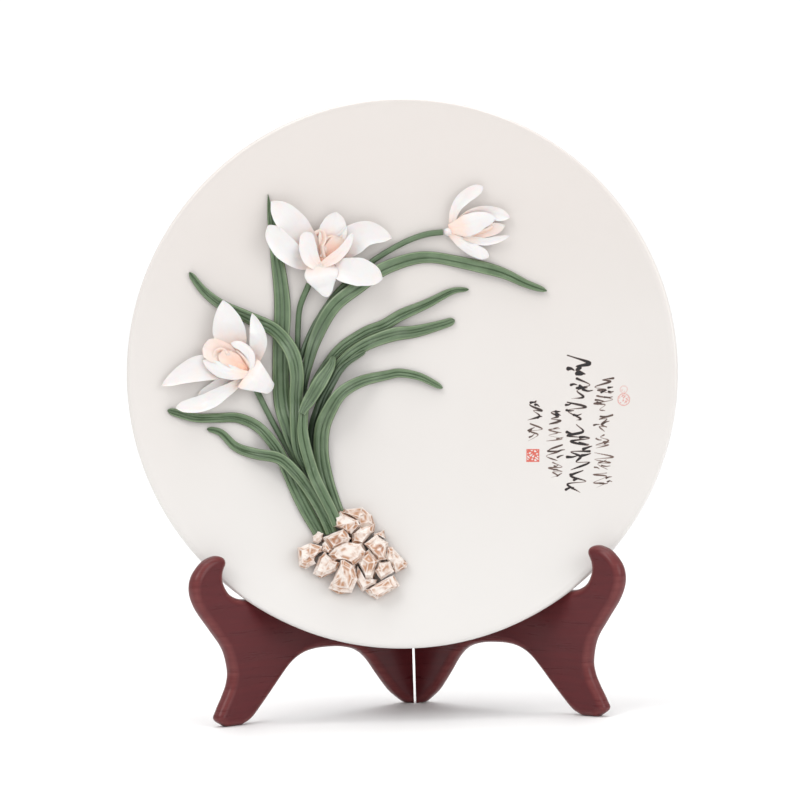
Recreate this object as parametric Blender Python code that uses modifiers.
"""Porcelain plate with a narcissus relief, resting on a folding wooden stand.

Blender 4.5. The scene is in metres with +Z up, and the object's front faces -Y.
Lengths in this script are millimetres and become metres where a mesh is made.
"""

import math

import bmesh
import bpy
import numpy as np
from mathutils import Matrix, Vector

MM = 0.001
GAP = 0.35

# Plate
PLATE_RADIUS = 130.0
DISH_DEPTH = 16.0
DISH_POWER = 2.6
PLATE_THICKNESS = 4.3
LIP_RADIUS = 1.8
FOOT_RING_OUTER = 72.0
FOOT_RING_INNER = 65.5
FOOT_RING_PLANE = 26.0
PLATE_LEAN = math.radians(6.9)
PLATE_FORWARD = 52.8
PLATE_CENTRE_HEIGHT = 163.4
PLATE_STEPS = 48

# Drawing sheet of the relief: units counted right and down from the sheet's corner
SHEET_CENTRE = (402.0, 374.0)
SHEET_UNIT = PLATE_RADIUS / 275.0
SHEET_TURN = math.radians(1.8)
HEAP_CORNER = (290.0, 500.0)
HEAP_UNITS = 12.06
HEAP_PASSES = 60
HEAP_PULL = 0.03
STONE_GAP = 0.15

# Relief
LEAF_THICKNESS = 2.3
STEM_RADIUS = 1.45
STEM_SIDES = 6
PETAL_THICKNESS = 1.7
BED_STEP = 0.07
PETAL_START = 0.1
KNOB_HEIGHT = 6.2
KNOB_SIDES = 10
PETAL_STEPS = 5
FIELD_STEP = 0.5
RAMP = 0.5

# Stand
HALF_OPENING = math.radians(50.0)
BOARD_THICKNESS = 8.0
BOARD_ROUNDING = 2.0
BOARD_END = 0.5
CLOSED_HALF_GAP = 0.25
POST_TOP_DROP = 12.9
POST_FRONT_DROPS = (65.4, 25.4)

# Hinge
HINGE_HEIGHT = 92.0
HINGE_LENGTH = 40.0
BARREL_RADIUS = 1.5
BORE_RADIUS = 0.92
PIN_RADIUS = 0.58
PIN_HEAD_RADIUS = 1.2
PIN_HEAD = 0.8
PLAY = 0.3
LEAF_PLATE = 1.0
LEAF_PLATE_WIDTH = 7.9
KNUCKLE_HALF = 6.7
SCREW_FROM_END = 7.0
SCREW_ACROSS = 5.0
SCREW_RADIUS = 0.6
SCREW_HEAD_RADIUS = 1.45
SCREW_HEAD = 0.7
SCREW_LENGTH = 5.5
RELIEF_RADIUS = BARREL_RADIUS + 0.4
SCREW_SPREAD = HINGE_LENGTH / 2 - SCREW_FROM_END

OBJECT = bpy.data.collections.new("narcissus_plate_on_stand")
CUTTERS = bpy.data.collections.new("cutters")


def clear_scene():
    for item in list(bpy.data.objects):
        bpy.data.objects.remove(item, do_unlink=True)
    bpy.context.scene.collection.children.link(OBJECT)
    bpy.context.scene.collection.children.link(CUTTERS)


def material(name, color, roughness, metallic=0.0):
    made = bpy.data.materials.new(name)
    made.use_nodes = True
    shader = made.node_tree.nodes["Principled BSDF"]
    shader.inputs["Base Color"].default_value = (*color, 1.0)
    shader.inputs["Roughness"].default_value = roughness
    shader.inputs["Metallic"].default_value = metallic
    return made


def empty(name, parent=None, location=(0.0, 0.0, 0.0), rotation=(0.0, 0.0, 0.0)):
    item = bpy.data.objects.new(name, None)
    item.location = Vector(location) * MM
    item.rotation_euler = rotation
    item.parent = parent
    OBJECT.objects.link(item)
    return item


def place(name, mesh, look, parent, smooth=30.0):
    """One named object with its own material; smooth is the sharp-edge angle, None for flat."""
    mesh.materials.clear()
    mesh.materials.append(material(name, *look))
    if smooth is not None:
        mesh.shade_smooth()
        mesh.set_sharp_from_angle(angle=math.radians(smooth))
    item = bpy.data.objects.new(name, mesh)
    item.parent = parent
    OBJECT.objects.link(item)
    return item


def cutter(name, mesh, parent):
    item = bpy.data.objects.new(name, mesh)
    item.parent = parent
    item.hide_render = True
    item.display_type = "WIRE"
    CUTTERS.objects.link(item)
    return item


def boolean(item, other, operation, solver="EXACT"):
    step = item.modifiers.new(other.name, "BOOLEAN")
    step.operation = operation
    step.solver = solver
    step.object = other


def mesh_of(bm, name):
    bmesh.ops.recalc_face_normals(bm, faces=bm.faces)
    mesh = bpy.data.meshes.new(name)
    bm.to_mesh(mesh)
    bm.free()
    return mesh


def loft(name, rings):
    """Closed body through rings of equal count, flat at both ends."""
    bm = bmesh.new()
    loops = [[bm.verts.new(Vector(point) * MM) for point in ring] for ring in rings]
    count = len(loops[0])
    for low, high in zip(loops, loops[1:]):
        for i in range(count):
            j = (i + 1) % count
            bm.faces.new((low[i], low[j], high[j], high[i]))
    bm.faces.new(loops[0][::-1])
    bm.faces.new(loops[-1])
    return mesh_of(bm, name)


def turned(name, profile, steps, look, parent):
    """Turned body: the profile runs down its outer side from the top."""
    mesh = bpy.data.meshes.new(name)
    points = [(radius * MM, 0.0, height * MM) for radius, height in profile]
    mesh.from_pydata(points, [(i, i + 1) for i in range(len(points) - 1)], [])
    item = place(name, mesh, look, parent, smooth=None)
    turn = item.modifiers.new("turn", "SCREW")
    turn.steps = steps
    turn.render_steps = steps
    turn.use_merge_vertices = True
    turn.merge_threshold = 0.00001
    turn.use_smooth_shade = True
    return item


def spline(points, per_segment=10):
    """Dense smooth path through the points, ends included."""
    given = np.array(points, float)
    line = np.vstack([2 * given[0] - given[1], given, 2 * given[-1] - given[-2]])
    out = []
    for a, b, c, d in zip(line, line[1:], line[2:], line[3:]):
        for k in range(per_segment):
            t = k / per_segment
            out.append(0.5 * (2 * b + (c - a) * t + (2 * a - 5 * b + 4 * c - d) * t * t
                              + (3 * b - a - 3 * c + d) * t ** 3))
    out.append(given[-1])
    return np.array(out)


def stations(points, count):
    """Points at equal steps along the smooth path, their shares, unit tangents and step length."""
    path = spline(points)
    walked = np.concatenate([[0.0], np.cumsum(np.linalg.norm(np.diff(path, axis=0), axis=1))])
    shares = np.linspace(0.0, 1.0, count)
    at = [np.interp(shares * walked[-1], walked, path[:, k]) for k in range(path.shape[1])]
    here = np.stack(at, axis=1)
    tangent = np.gradient(here, axis=0)
    tangent /= np.linalg.norm(tangent, axis=1)[:, None]
    return here, shares, tangent, walked[-1] / (count - 1)


def on_face(u, v):
    """Plate-face position, x right and y up from the plate's centre, of a sheet position."""
    right = (u - SHEET_CENTRE[0]) * SHEET_UNIT
    down = (v - SHEET_CENTRE[1]) * SHEET_UNIT
    return (right * math.cos(SHEET_TURN) - down * math.sin(SHEET_TURN),
            -down * math.cos(SHEET_TURN) - right * math.sin(SHEET_TURN))


def dish(x, y):
    """Height of the plate's front face, counted from the plane of its lip."""
    share = np.hypot(x, y) / PLATE_RADIUS
    return -DISH_DEPTH * (1.0 - share ** DISH_POWER)


class Ground:
    """How far what is already laid stands up from the plate's face."""

    def __init__(self):
        self.count = int(2 * PLATE_RADIUS / FIELD_STEP) + 1
        self.height = np.zeros((self.count, self.count))

    def index(self, x, y):
        return (int(round((x + PLATE_RADIUS) / FIELD_STEP)),
                int(round((y + PLATE_RADIUS) / FIELD_STEP)))

    def at(self, x, y):
        i, j = self.index(x, y)
        return float(self.height[i - 1:i + 2, j - 1:j + 2].max())

    def lay(self, mesh):
        mesh.calc_loop_triangles()
        points = [np.array(vert.co) / MM for vert in mesh.vertices]
        for face in mesh.loop_triangles:
            self.lay_triangle([points[k] for k in face.vertices])

    def lay_triangle(self, corners):
        a, b, c = corners
        cross = (b[0] - a[0]) * (c[1] - a[1]) - (c[0] - a[0]) * (b[1] - a[1])
        if abs(cross) < 1e-6:
            return
        low = np.min(corners, axis=0)
        high = np.max(corners, axis=0)
        i0, j0 = self.index(low[0], low[1])
        i1, j1 = self.index(high[0], high[1])
        gx, gy = np.meshgrid(np.arange(i0, i1 + 1), np.arange(j0, j1 + 1), indexing="ij")
        x = gx * FIELD_STEP - PLATE_RADIUS
        y = gy * FIELD_STEP - PLATE_RADIUS
        u = ((x - a[0]) * (c[1] - a[1]) - (c[0] - a[0]) * (y - a[1])) / cross
        v = ((b[0] - a[0]) * (y - a[1]) - (x - a[0]) * (b[1] - a[1])) / cross
        inside = (u >= -0.1) & (v >= -0.1) & (u + v <= 1.1)
        z = a[2] + u * (b[2] - a[2]) + v * (c[2] - a[2]) - dish(x, y)
        z = np.minimum(z, high[2] - dish(x, y))
        view = self.height[i0:i1 + 1, j0:j1 + 1]
        view[inside] = np.maximum(view, z)[inside]


GROUND = Ground()


def strip_lift(here, tangent, half, step):
    """Height at each station that clears what lies under a strip, with gentle ramps."""
    count = len(here)
    needed = np.zeros(count)
    across = np.linspace(-1.0, 1.0, 9)
    for i in range(count - 1):
        inner = max(2, int(step / FIELD_STEP))
        top = 0.0
        for k in range(inner + 1):
            t = k / inner
            middle = here[i] * (1 - t) + here[i + 1] * t
            along = tangent[i] * (1 - t) + tangent[i + 1] * t
            reach = half[i] * (1 - t) + half[i + 1] * t + PLAY
            for a in across:
                spot = middle + np.array([-along[1], along[0]]) * a * reach
                top = max(top, GROUND.at(spot[0], spot[1]))
        needed[i] = max(needed[i], top)
        needed[i + 1] = max(needed[i + 1], top)
    for order in (range(1, count), range(count - 2, -1, -1)):
        for i in order:
            beside = needed[i - 1] if order.step > 0 else needed[i + 1]
            needed[i] = max(needed[i], beside - RAMP * step)
    return needed + GAP


def strip(name, path, widths, section, count, thickness, rise=((0, 0), (1, 0)), cup=0.0, bed=0.0):
    """Long body on the plate's face. Widths and rise are (share of length, value) pairs."""
    here, shares, tangent, step = stations([on_face(u, v) for u, v in path], count)
    half = np.interp(shares, *zip(*widths)) * SHEET_UNIT / 2
    lift = strip_lift(here, tangent, half, step) + bed
    risen = np.interp(shares, *zip(*rise))
    thick = thickness * np.minimum(1.0, 0.45 + half / (half.max() * 1.4))
    rings = []
    for i in range(count):
        side = np.array([-tangent[i][1], tangent[i][0]])
        ring = []
        for across, high in section:
            x, y = here[i] + side * across * half[i]
            up = 0.0 if high == 0.0 else risen[i] + cup * across * across
            ring.append((x, y, float(dish(x, y)) + lift[i] + high * thick[i] + up))
        rings.append(ring)
    return loft(name, rings)


PORCELAIN = ((0.86, 0.84, 0.80), 0.16)
LEAF_GREEN = ((0.17, 0.28, 0.15), 0.5)
PETAL_WHITE = ((0.86, 0.84, 0.82), 0.35)
STONE_CREAM = ((0.80, 0.66, 0.52), 0.6)
WOOD = ((0.12, 0.035, 0.03), 0.32)
BRASS = ((0.55, 0.40, 0.17), 0.35, 1.0)

LEAF_SECTION = ((-0.9, 0.0), (0.9, 0.0), (1.0, 0.45), (0.55, 1.0), (0.0, 0.7), (-0.55, 1.0), (-1.0, 0.45))
PETAL_SECTION = ((-0.85, 0.0), (0.85, 0.0), (1.0, 0.5), (0.45, 1.0), (0.0, 0.8), (-0.45, 1.0), (-1.0, 0.5))

# Stems: sheet positions from the flower down to the bunch
STEMS = (
    ("stem_upper_flower", ((308, 284), (299, 307), (297, 330), (297, 355), (297, 372))),
    ("stem_right_flower", ((433, 234), (410, 240), (387, 252), (362, 268), (343, 290), (317, 323),
                           (300, 367), (296, 380))),
    ("stem_left_flower", ((258, 395), (266, 411), (275, 428), (282, 440))),
)

# Leaves in the order they are laid: name, sheet positions from the tip down, widths, stations
LEAVES = (
    ("leaf_tall", ((267, 195), (270, 220), (281, 298), (280, 349), (281, 399), (290, 430), (303, 470)),
     ((0, 2), (0.08, 7), (0.25, 14), (0.4, 17), (0.75, 16), (0.88, 11), (1, 9)), 13),
    ("leaf_long_arch", ((546, 291), (526, 284), (499, 272), (459, 262), (429, 257), (406, 260),
                        (381, 270), (359, 286), (333, 307), (316, 337), (306, 372), (303, 392)),
     ((0, 2), (0.08, 8), (0.2, 13), (0.35, 10), (0.55, 14), (0.8, 13), (1, 5)), 15),
    ("leaf_upper_left", ((189, 274), (203, 292), (221, 306), (247, 318), (274, 331), (291, 352),
                         (297, 375), (296, 400), (298, 448), (305, 472)),
     ((0, 2), (0.1, 8), (0.3, 13), (0.5, 15), (0.75, 13), (0.85, 9), (1, 7)), 14),
    ("leaf_right_upper", ((468, 289), (451, 291), (427, 303), (400, 315), (383, 325), (363, 333),
                          (337, 351), (316, 379), (309, 396)),
     ((0, 2), (0.12, 8), (0.35, 11), (0.7, 11), (1, 5)), 11),
    ("leaf_right_lower", ((454, 320), (439, 325), (416, 331), (392, 335), (363, 346), (341, 363),
                          (323, 387), (317, 400)),
     ((0, 2), (0.12, 9), (0.35, 13), (0.7, 11), (1, 5)), 10),
    ("leaf_inner", ((365, 352), (343, 367), (329, 389), (321, 411), (315, 434), (317, 470)),
     ((0, 4), (0.3, 7), (0.7, 6), (1, 4)), 8),
    ("leaf_lower_left_long", ((168, 412), (195, 419), (217, 419), (238, 419), (258, 428), (275, 447),
                              (286, 468), (296, 490), (307, 512), (318, 530)),
     ((0, 2), (0.08, 8), (0.3, 10), (0.6, 12), (0.8, 13), (1, 12)), 13),
    ("leaf_c_curve", ((442, 388), (420, 377), (400, 373), (387, 375), (363, 381), (343, 393),
                      (330, 411), (322, 430), (321, 454), (326, 480), (334, 503), (338, 512)),
     ((0, 2), (0.1, 7), (0.25, 10), (0.45, 13), (0.6, 16), (0.8, 14), (1, 9)), 14),
    ("leaf_lower_left_short", ((207, 430), (221, 434), (236, 448), (256, 455), (280, 460), (297, 475),
                               (310, 492), (321, 510), (328, 526)),
     ((0, 6), (0.06, 9), (0.3, 11), (0.6, 12), (0.85, 10), (1, 8)), 12),
    ("leaf_front_folded", ((333, 357), (329, 369), (317, 389), (306, 407), (303, 425), (304, 440),
                           (309, 460), (316, 480), (326, 500), (333, 513)),
     ((0, 6), (0.08, 11), (0.2, 14), (0.33, 13), (0.42, 10), (0.55, 12), (0.8, 11), (1, 8)), 12),
)

# Petals of each flower: sheet positions from the heart to the tip, widths, rise along the petal, cup
FLOWERS = (
    ("flower_upper", (320, 257), 13, (
        (((296, 230), (271, 204)), ((0, 8), (0.35, 18), (0.65, 23), (0.9, 15), (1, 5)),
         ((0, 1.5), (1, 1.5)), 0.8),
        (((288, 248), (265, 230)), ((0, 8), (0.4, 22), (0.7, 24), (0.92, 14), (1, 5)),
         ((0, 0.5), (1, 0.5)), 0.8),
        (((334, 234), (338, 213)), ((0, 8), (0.4, 22), (0.7, 22), (0.92, 12), (1, 4)),
         ((0, 1.0), (1, 2.0)), 0.8),
        (((354, 242), (389, 237)), ((0, 8), (0.35, 22), (0.6, 27), (0.9, 14), (1, 4)),
         ((0, 0.5), (1, 1.0)), 0.8),
        (((352, 270), (380, 279)), ((0, 8), (0.35, 20), (0.65, 24), (0.92, 13), (1, 5)),
         ((0, 0.5), (1, 0.8)), 0.7),
        (((318, 276), (326, 297)), ((0, 18), (0.35, 32), (0.6, 28), (0.9, 14), (1, 5)),
         ((0, 3.5), (0.5, 3.0), (1, 1.5)), 0.5),
        (((309, 254), (305, 234)), ((0, 8), (0.4, 17), (0.75, 17), (1, 8)),
         ((0, 4.0), (1, 5.5)), 1.0),
        (((336, 248), (351, 235)), ((0, 6), (0.4, 13), (0.8, 12), (1, 5)),
         ((0, 3.5), (1, 4.5)), 1.0),
        (((328, 248), (332, 235)), ((0, 6), (0.5, 14), (0.85, 13), (1, 7)),
         ((0, 4.2), (1, 5.2)), 1.0),
    )),
    ("flower_left", (236, 364), 14, (
        (((226, 334), (222, 303)), ((0, 10), (0.35, 24), (0.65, 29), (0.9, 16), (1, 4)),
         ((0, 0.5), (1, 1.5)), 0.8),
        (((252, 340), (252, 317)), ((0, 8), (0.4, 18), (0.7, 18), (0.92, 11), (1, 4)),
         ((0, 0.8), (1, 1.2)), 0.8),
        (((254, 376), (268, 390)), ((0, 12), (0.4, 25), (0.75, 21), (1, 8)),
         ((0, 2.5), (1, 0.8)), 0.6),
        (((196, 370), (164, 387)), ((0, 10), (0.35, 23), (0.6, 25), (0.9, 14), (1, 5)),
         ((0, 0.5), (1, 1.0)), 0.8),
        (((212, 390), (183, 412)), ((0, 10), (0.4, 23), (0.75, 22), (0.93, 14), (1, 8)),
         ((0, 0.8), (1, 1.2)), 0.7),
        (((220, 354), (205, 351)), ((0, 10), (0.5, 20), (0.85, 18), (1, 9)),
         ((0, 3.0), (1, 4.0)), 1.0),
        (((219, 375), (206, 372)), ((0, 7), (0.5, 13), (0.85, 12), (1, 6)),
         ((0, 3.2), (1, 4.0)), 0.9),
        (((240, 346),), ((0, 8), (0.5, 13), (0.85, 12), (1, 7)),
         ((0, 3.8), (1, 4.4)), 0.7),
    )),
    ("flower_right", (449, 232), 12, (
        (((462, 207), (481, 188)), ((0, 6), (0.4, 14), (0.7, 14), (1, 4)),
         ((0, 0.5), (1, 0.5)), 0.6),
        (((480, 216), (508, 217)), ((0, 6), (0.4, 12), (0.75, 15), (1, 5)),
         ((0, 0.5), (1, 0.8)), 0.6),
        (((472, 246), (487, 258)), ((0, 6), (0.4, 14), (0.75, 14), (1, 4)),
         ((0, 0.5), (1, 0.5)), 0.6),
        (((482, 240), (508, 236)), ((0, 6), (0.4, 13), (0.75, 15), (1, 5)),
         ((0, 1.2), (1, 1.2)), 0.6),
        (((470, 228), (493, 220)), ((0, 8), (0.35, 14), (0.7, 13), (1, 5)),
         ((0, 2.2), (1, 3.5)), 0.8),
    )),
)

# Stones: height, slope across and down, and corners on the heap's finer grid
STONES = (
    (9.5, 0.10, -0.10, ((620, 165), (545, 215), (545, 330), (600, 362), (700, 420), (738, 405),
                        (845, 312), (808, 262))),
    (7.0, -0.05, 0.10, ((690, 130), (870, 115), (960, 190), (995, 300), (860, 325), (820, 250),
                        (660, 168))),
    (8.0, 0.08, 0.00, ((752, 412), (850, 342), (1002, 312), (1000, 395), (880, 540), (762, 515))),
    (9.0, 0.10, 0.12, ((410, 465), (655, 368), (728, 470), (700, 520), (525, 590))),
    (6.0, 0.00, 0.05, ((290, 450), (345, 402), (402, 420), (396, 480), (345, 535), (292, 510))),
    (8.5, -0.10, 0.08, ((125, 600), (260, 552), (380, 592), (380, 640), (300, 705), (315, 760),
                        (212, 815), (140, 790))),
    (8.0, 0.08, -0.06, ((372, 700), (440, 655), (478, 690), (556, 742), (610, 765), (560, 850),
                        (400, 930), (312, 882))),
    (10.5, 0.06, 0.06, ((484, 672), (566, 600), (702, 535), (850, 550), (900, 640), (868, 705),
                        (772, 795), (655, 738), (560, 732))),
    (9.5, -0.04, 0.10, ((585, 852), (630, 772), (660, 750), (775, 808), (800, 960), (740, 1100),
                        (605, 1110), (502, 1055), (525, 1000))),
    (10.0, 0.06, -0.06, ((835, 765), (880, 715), (962, 622), (1080, 742), (1000, 945), (925, 945))),
    (10.5, 0.08, 0.04, ((912, 545), (1058, 452), (1168, 532), (1180, 620), (1150, 715), (1078, 722),
                        (968, 612))),
    (7.5, 0.04, 0.10, ((1192, 590), (1252, 602), (1405, 760), (1395, 805), (1278, 868), (1225, 750),
                       (1165, 722))),
    (9.0, -0.10, 0.04, ((1040, 858), (1082, 762), (1208, 752), (1262, 868), (1112, 958))),
    (7.0, 0.00, 0.12, ((806, 968), (840, 830), (905, 960), (1010, 958), (1046, 968), (1030, 1015),
                       (890, 1098))),
    (8.0, -0.06, -0.08, ((940, 1085), (1060, 1020), (1228, 940), (1300, 1045), (1065, 1180), (1000, 1150))),
    (6.5, 0.05, 0.00, ((405, 545), (436, 508), (515, 606), (480, 650), (444, 642), (392, 620))),
    (6.0, 0.00, 0.00, ((1022, 412), (1128, 375), (1148, 470), (1060, 434), (1000, 470))),
)

# Pits cut in two of the stones: stone number, position on the heap's grid, radius
PITS = ((4, (575, 500), 1.6), (11, (1090, 600), 1.9))

# Lower edge of a board, as shares of the plate rim's distance from the hinge axis and of its height
ARCH = ((0.059, 0.0), (0.127, 0.127), (0.197, 0.263), (0.262, 0.406), (0.328, 0.496), (0.408, 0.548),
        (0.492, 0.563), (0.571, 0.560), (0.640, 0.536), (0.709, 0.480), (0.778, 0.380), (0.851, 0.247),
        (0.925, 0.117), (0.984, 0.030), (1.024, 0.0))
FOOT_FRONT = ((1.088, 0.0), (1.134, 0.065), (1.116, 0.143), (1.081, 0.240), (1.055, 0.337), (1.048, 0.441),
              (1.075, 0.603))

# Hook and notch of a board, as steps outwards and up from the plate's rim
HOOK = ((14.6, -14.2), (22.6, -4.0), (26.1, 4.0), (24.6, 11.6), (18.8, 18.2), (13.0, 21.0), (9.0, 20.2),
        (8.3, 17.4), (9.9, 13.0), (9.6, 8.0), (6.0, 2.6), (0.6, -0.3), (-5.6, -1.0), (-13.6, 0.0),
        (-21.6, 4.0), (-30.6, 11.5), (-39.6, 21.5), (-45.0, 29.5))


def rim_seat():
    """Distance from the hinge axis and height of the place where the plate's rim crosses a board."""
    ahead = PLATE_RADIUS * math.cos(HALF_OPENING)
    leaning = PLATE_RADIUS * math.sin(HALF_OPENING) * math.sin(PLATE_LEAN)
    reach = PLATE_FORWARD * math.sin(HALF_OPENING)
    turn = math.atan2(leaning, ahead) - math.acos(reach / math.hypot(ahead, leaning))
    return (PLATE_RADIUS * math.cos(turn) / math.sin(HALF_OPENING),
            PLATE_CENTRE_HEIGHT + PLATE_RADIUS * math.sin(turn) * math.cos(PLATE_LEAN))


def post_front(height):
    """Distance from the hinge axis of the post's front edge, which backs the plate's foot ring."""
    cosine, sine = math.cos(PLATE_LEAN), math.sin(PLATE_LEAN)
    plane = PLATE_FORWARD * cosine + PLATE_CENTRE_HEIGHT * sine - FOOT_RING_PLANE - GAP
    return (plane - height * sine) / (math.cos(HALF_OPENING) * cosine)


def board_outline():
    """Closed outline of a board, anticlockwise from the rear foot."""
    out, up = rim_seat()
    arch = [(share * out, rise * up) for share, rise in ARCH]
    foot = [(share * out, rise * up) for share, rise in FOOT_FRONT]
    hook = [(out + along, up + rise) for along, rise in HOOK]
    low, high = [PLATE_CENTRE_HEIGHT - drop for drop in POST_FRONT_DROPS]
    post = [(post_front(low), low), (post_front(high), high)]
    peak = PLATE_CENTRE_HEIGHT - POST_TOP_DROP
    top = [post[-1], (post_front(peak - 6.5) - 1.6, peak - 5.5), (36.0, peak - 0.6), (24.0, peak),
           (10.0, peak - 2.0), (BOARD_END, peak - 4.0)]
    runs = (([(BOARD_END, 0.0), arch[0]], 1), (arch, 1), ([arch[-1], foot[0]], 1), (foot + hook, 2),
            ([hook[-1], post[0]], 1), (post, 1), (top, 2))
    outline = []
    for points, fineness in runs:
        outline.extend([tuple(point) for point in spline(points, fineness)[:-1]])
    outline.append(top[-1])
    return outline


def board_mesh(name, side):
    """Board with rounded edges, square at the hinge end; side is -1 for left and 1 for right."""
    bm = bmesh.new()
    inner = CLOSED_HALF_GAP * MM
    ring = [bm.verts.new((side * s * MM, inner, z * MM)) for s, z in board_outline()]
    face = bm.faces.new(ring)
    grown = bmesh.ops.extrude_face_region(bm, geom=[face])
    moved = [item for item in grown["geom"] if isinstance(item, bmesh.types.BMVert)]
    bmesh.ops.translate(bm, verts=moved, vec=(0.0, BOARD_THICKNESS * MM, 0.0))
    bmesh.ops.recalc_face_normals(bm, faces=bm.faces)
    end = BOARD_END * MM + 1e-6
    rounded = []
    for edge in bm.edges:
        a, b = edge.verts
        across = abs(a.co.y - b.co.y) > 1e-6
        at_hinge = abs(a.co.x) < end and abs(b.co.x) < end
        if not across and not at_hinge:
            rounded.append(edge)
    bmesh.ops.bevel(bm, geom=rounded, offset=BOARD_ROUNDING * MM, offset_type="OFFSET", segments=2,
                    profile=0.5, affect="EDGES", clamp_overlap=False)
    return mesh_of(bm, name)


def rod(bm, radius, low, high, sides, centre=(0.0, 0.0), axis="Z"):
    """Straight round bar added to bm. Along Z it stands at centre (x, y); along X, at (y, z)."""
    if axis == "Z":
        frame = Matrix.Translation(Vector((centre[0], centre[1], (low + high) / 2)) * MM)
    else:
        frame = Matrix.Translation(Vector(((low + high) / 2, centre[0], centre[1])) * MM)
        frame = frame @ Matrix.Rotation(math.pi / 2, 4, "Y")
    bmesh.ops.create_cone(bm, cap_ends=True, segments=sides, radius1=radius * MM, radius2=radius * MM,
                          depth=(high - low) * MM, matrix=frame)


def box(bm, low, high):
    size = [b - a for a, b in zip(low, high)]
    middle = [(a + b) / 2 for a, b in zip(low, high)]
    frame = Matrix.Translation(Vector(middle) * MM) @ Matrix.Diagonal((*[v * MM for v in size], 1.0))
    bmesh.ops.create_cube(bm, size=1.0, matrix=frame)


def span(side, near, far):
    """Ends of a length along the board, in order along X."""
    return sorted((side * near, side * far))


def build_plate(seat):
    front = [(r, float(dish(r, 0.0))) for r in (0.0, 30.0, 54.0, 74.0, 91.0, 105.0, 117.0, 126.0)]
    centre = (PLATE_RADIUS - LIP_RADIUS, -LIP_RADIUS - 0.4)
    lip = [(centre[0] + LIP_RADIUS * math.cos(a), centre[1] + LIP_RADIUS * math.sin(a))
           for a in (math.radians(d) for d in (75, 25, -20, -70))]
    back = [(r, float(dish(r, 0.0)) - PLATE_THICKNESS) for r in (118.0, 100.0, FOOT_RING_OUTER + 1.5)]
    ring = [(FOOT_RING_OUTER, -FOOT_RING_PLANE + 1.0), (FOOT_RING_OUTER - 1.0, -FOOT_RING_PLANE),
            (FOOT_RING_INNER + 1.2, -FOOT_RING_PLANE), (FOOT_RING_INNER, -FOOT_RING_PLANE + 4.5)]
    base = [(0.0, -DISH_DEPTH - PLATE_THICKNESS)]
    return turned("plate", front + lip + back + ring + base, PLATE_STEPS, PORCELAIN, seat)


def build_stems(seat):
    for name, path in STEMS:
        here, shares, tangent, step = stations([on_face(u, v) for u, v in path], 4 + len(path))
        half = np.full(len(here), STEM_RADIUS) * (1.0 - 0.12 * shares)
        lift = strip_lift(here, tangent, half, step)
        rings = []
        for i, spot in enumerate(here):
            side = np.array([-tangent[i][1], tangent[i][0]])
            ring = []
            for k in range(STEM_SIDES):
                angle = 2 * math.pi * (k + 0.5) / STEM_SIDES - math.pi / 2
                x, y = spot + side * half[i] * math.cos(angle)
                ring.append((x, y, float(dish(*spot)) + lift[i] + half[i] * (1.25 + math.sin(angle))))
            rings.append(ring)
        mesh = loft(name, rings)
        GROUND.lay(mesh)
        place(name, mesh, LEAF_GREEN, seat, smooth=60.0)


def build_leaves(seat):
    for name, path, widths, count in LEAVES:
        mesh = strip(name, path, widths, LEAF_SECTION, count, LEAF_THICKNESS)
        GROUND.lay(mesh)
        place(name, mesh, LEAF_GREEN, seat, smooth=45.0)


def build_flower(seat, name, heart, knob, petals):
    """Petals fired together with a knob at their heart that reaches every petal's root."""
    x, y = on_face(*heart)
    radius = knob * SHEET_UNIT / 2
    spots = [(x + radius * i / 3, y + radius * j / 3) for i in range(-3, 4) for j in range(-3, 4)]
    low = max(GROUND.at(*spot) + float(dish(*spot)) for spot in spots) + GAP
    rings = []
    shapes = []
    for number, (path, widths, rise, cup) in enumerate(petals, 1):
        start = tuple(h + PETAL_START * (p - h) for h, p in zip(heart, path[0]))
        shapes.append(strip(f"{name}_petal_{number}", (start, *path), widths, PETAL_SECTION, PETAL_STEPS,
                            PETAL_THICKNESS, rise, cup, BED_STEP * number))
    roots = [max(vert.co.z for vert in shape.vertices[:len(PETAL_SECTION)]) / MM for shape in shapes]
    tall = max(KNOB_HEIGHT, max(roots) - low)
    for share, height in ((1.0, 0.0), (1.05, 0.4), (0.85, 0.77), (0.4, 1.0)):
        rings.append([(x + radius * share * math.cos(math.tau * k / KNOB_SIDES),
                       y + radius * share * math.sin(math.tau * k / KNOB_SIDES), low + tall * height)
                      for k in range(KNOB_SIDES)])
    flower = place(name, loft(name, rings), PETAL_WHITE, seat, smooth=40.0)
    for shape in shapes:
        boolean(flower, cutter(shape.name, shape, seat), "UNION", "MANIFOLD")


def on_heap(a, b):
    return on_face(HEAP_CORNER[0] + a / HEAP_UNITS, HEAP_CORNER[1] + b / HEAP_UNITS)


def too_close(points, outline):
    """Which points lie inside an outline, or nearer to it than the stones' gap."""
    ahead = np.roll(outline, -1, axis=0)
    edges = ahead - outline
    edges /= np.linalg.norm(edges, axis=1)[:, None]
    turn = np.sign(np.sum(outline[:, 0] * ahead[:, 1] - ahead[:, 0] * outline[:, 1]))
    away = points[:, None, :] - outline[None, :, :]
    depth = turn * (edges[None, :, 0] * away[:, :, 1] - edges[None, :, 1] * away[:, :, 0])
    return depth.min(axis=1) > -STONE_GAP


def heap_outlines():
    """Stone outlines on the plate's face, drawn in where neighbours would touch."""
    outlines = [np.array([on_heap(a, b) for a, b in corners]) for *_, corners in STONES]
    for _ in range(HEAP_PASSES):
        for i, outline in enumerate(outlines):
            for j, other in enumerate(outlines):
                if i == j:
                    continue
                ahead = np.roll(outline, -1, axis=0)
                hit = too_close(outline, other)
                for share in (0.25, 0.5, 0.75):
                    between = too_close(outline * (1 - share) + ahead * share, other)
                    hit |= between | np.roll(between, 1)
                outline[hit] += HEAP_PULL * (outline.mean(axis=0) - outline[hit])
    return outlines


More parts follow.
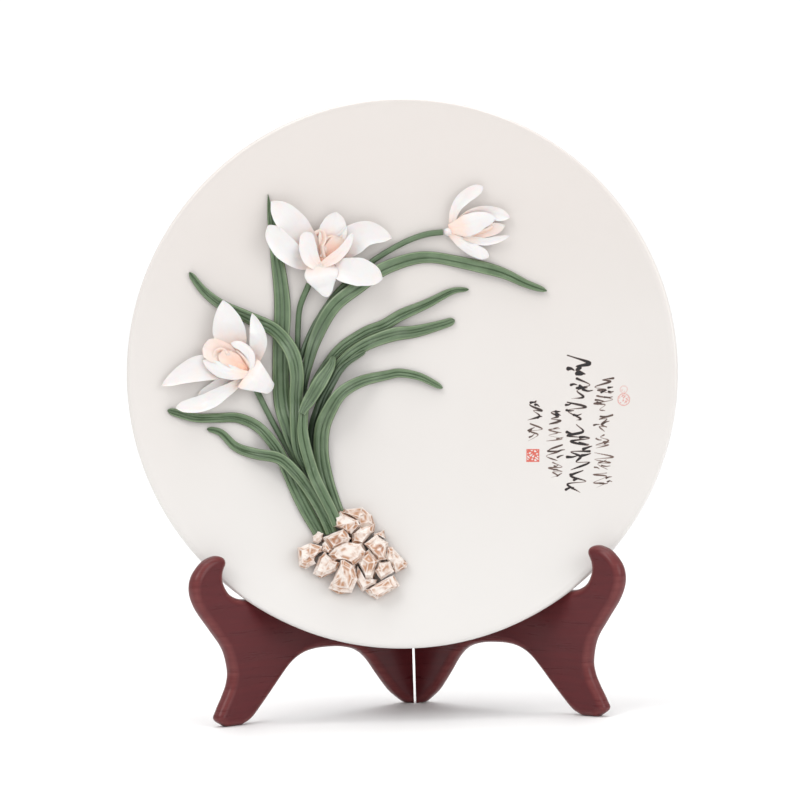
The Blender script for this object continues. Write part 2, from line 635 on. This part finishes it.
def build_stones(seat):
    """Cut stones heaped at the foot of the bunch, each a block with a bevelled sloping top."""
    outlines = heap_outlines()
    for number, (height, slope_x, slope_y, _) in enumerate(STONES, 1):
        outline = outlines[number - 1]
        middle = outline.mean(axis=0)
        lift = GAP
        for point in outline:
            for share in (0.0, 0.4, 0.7, 0.95):
                spot = middle + (point - middle) * share
                lift = max(lift, GROUND.at(spot[0], spot[1]) + GAP)
        rings = []
        for share, high in ((0.9, 0.0), (1.0, 0.4), (1.0, 0.8), (0.76, 1.0)):
            ring = []
            for point in outline:
                x, y = middle + (point - middle) * share
                tilt = (slope_x * (x - middle[0]) + slope_y * (y - middle[1])) * high
                floor = float(dish(x, y)) if high == 0.0 else float(dish(*middle))
                ring.append((x, y, floor + lift + height * high + tilt))
            rings.append(ring)
        name = f"stone_{number:02d}"
        stone = place(name, loft(name, rings), STONE_CREAM, seat, smooth=None)
        for pit_stone, (a, b), radius in PITS:
            if pit_stone == number:
                spot = on_heap(a, b)
                top = float(dish(*middle)) + lift + height
                bm = bmesh.new()
                frame = Matrix.Translation(Vector((spot[0], spot[1], top)) * MM)
                bmesh.ops.create_cone(bm, cap_ends=True, segments=10, radius1=radius * 0.3 * MM,
                                      radius2=radius * 1.6 * MM, depth=5.0 * MM, matrix=frame)
                boolean(stone, cutter(f"{name}_pit", mesh_of(bm, f"{name}_pit"), seat), "DIFFERENCE")


def build_board(name, side, frame):
    board = place(name, board_mesh(name, side), WOOD, frame, smooth=35.0)
    bm = bmesh.new()
    reach = HINGE_LENGTH / 2 + PLAY + PIN_HEAD + 0.5
    rod(bm, RELIEF_RADIUS, HINGE_HEIGHT - reach, HINGE_HEIGHT + reach, 12)
    for z in (HINGE_HEIGHT - SCREW_SPREAD, HINGE_HEIGHT + SCREW_SPREAD):
        low, high = span(side, -2.0, SCREW_LENGTH + 0.6)
        rod(bm, SCREW_RADIUS + PLAY, low, high, 6, (SCREW_ACROSS, z), "X")
    boolean(board, cutter(f"{name}_hinge_room", mesh_of(bm, f"{name}_hinge_room"), frame), "DIFFERENCE")


def build_hinge_leaf(name, side, frame, outer):
    """Flat plate across the board's end, with the barrel's outer knuckles or its middle one."""
    half = HINGE_LENGTH / 2
    height = HINGE_HEIGHT
    if outer:
        knuckles = ((-half, -KNUCKLE_HALF - PLAY), (KNUCKLE_HALF + PLAY, half))
    else:
        knuckles = ((-KNUCKLE_HALF, KNUCKLE_HALF),)
    back = BOARD_END - PLAY
    low, high = span(side, back - LEAF_PLATE, back)
    bm = bmesh.new()
    box(bm, (low, BARREL_RADIUS + 0.6, height - half), (high, LEAF_PLATE_WIDTH, height + half))
    leaf = place(name, mesh_of(bm, name), BRASS, frame, smooth=30.0)
    for number, (start, end) in enumerate(knuckles, 1):
        bm = bmesh.new()
        box(bm, (low, 0.7, height + start), (high, BARREL_RADIUS + 1.2, height + end))
        boolean(leaf, cutter(f"{name}_tab_{number}", mesh_of(bm, "tab"), frame), "UNION")
        bm = bmesh.new()
        rod(bm, BARREL_RADIUS, height + start, height + end, 10)
        boolean(leaf, cutter(f"{name}_knuckle_{number}", mesh_of(bm, "knuckle"), frame), "UNION")
    bm = bmesh.new()
    rod(bm, BORE_RADIUS, height - half - 1.0, height + half + 1.0, 10)
    for z in (height - SCREW_SPREAD, height + SCREW_SPREAD):
        rod(bm, SCREW_RADIUS + PLAY, *span(side, -3.0, 1.5), 6, (SCREW_ACROSS, z), "X")
    boolean(leaf, cutter(f"{name}_holes", mesh_of(bm, "holes"), frame), "DIFFERENCE")


def build_hinge(left, right):
    """Butt hinge on the boards' rear ends, its pin on the fold's axis."""
    build_hinge_leaf("hinge_leaf_left", -1, left, True)
    build_hinge_leaf("hinge_leaf_right", 1, right, False)
    half = HINGE_LENGTH / 2 + PLAY
    profile = ((0.0, half + PIN_HEAD), (PIN_HEAD_RADIUS, half + PIN_HEAD), (PIN_HEAD_RADIUS, half),
               (PIN_RADIUS, half), (PIN_RADIUS, -half), (PIN_HEAD_RADIUS, -half),
               (PIN_HEAD_RADIUS, -half - PIN_HEAD), (0.0, -half - PIN_HEAD))
    pin = turned("hinge_pin", profile, 8, BRASS, left)
    pin.location.z = HINGE_HEIGHT * MM
    for frame, side, word in ((left, -1, "left"), (right, 1, "right")):
        build_screw(f"hinge_screw_{word}_low", frame, side, HINGE_HEIGHT - SCREW_SPREAD)
        build_screw(f"hinge_screw_{word}_high", frame, side, HINGE_HEIGHT + SCREW_SPREAD)


def build_screw(name, frame, side, z):
    """Round-headed screw whose head stands behind the leaf and whose shank enters the board."""
    behind = BOARD_END - 2 * PLAY - LEAF_PLATE
    profile = ((0.0, SCREW_HEAD), (SCREW_HEAD_RADIUS, SCREW_HEAD * 0.4), (SCREW_HEAD_RADIUS, 0.0),
               (SCREW_RADIUS, 0.0), (SCREW_RADIUS, behind - SCREW_LENGTH), (0.0, behind - SCREW_LENGTH - 0.4))
    screw = turned(name, profile, 7, BRASS, frame)
    screw.location = Vector((side * behind, SCREW_ACROSS, z)) * MM
    screw.rotation_euler = (0.0, -side * math.pi / 2, 0.0)


def centre_on_floor(root):
    """Moves the root so that the middle of the whole object's plan lies over the origin."""
    bpy.context.view_layer.update()
    graph = bpy.context.evaluated_depsgraph_get()
    corners = []
    for item in OBJECT.objects:
        if item.type == "MESH":
            shown = item.evaluated_get(graph)
            corners.extend([shown.matrix_world @ Vector(corner) for corner in shown.bound_box])
    root.location.y = -(min(c.y for c in corners) + max(c.y for c in corners)) / 2
    root.location.x = -(min(c.x for c in corners) + max(c.x for c in corners)) / 2


def build():
    clear_scene()
    root = empty("stand_root")
    left = empty("left_wing_frame", root, rotation=(0.0, 0.0, math.pi / 2 - HALF_OPENING))
    right = empty("wing_fold_axis", root, rotation=(0.0, 0.0, HALF_OPENING - math.pi / 2))
    seat = empty("plate_seat", root, (0.0, -PLATE_FORWARD, PLATE_CENTRE_HEIGHT),
                 (math.pi / 2 - PLATE_LEAN, 0.0, 0.0))
    build_plate(seat)
    build_stems(seat)
    build_leaves(seat)
    for name, heart, knob, petals in FLOWERS:
        build_flower(seat, name, heart, knob, petals)
    build_stones(seat)
    build_board("stand_wing_left", -1, left)
    build_board("stand_wing_right", 1, right)
    build_hinge(left, right)
    centre_on_floor(root)


build()
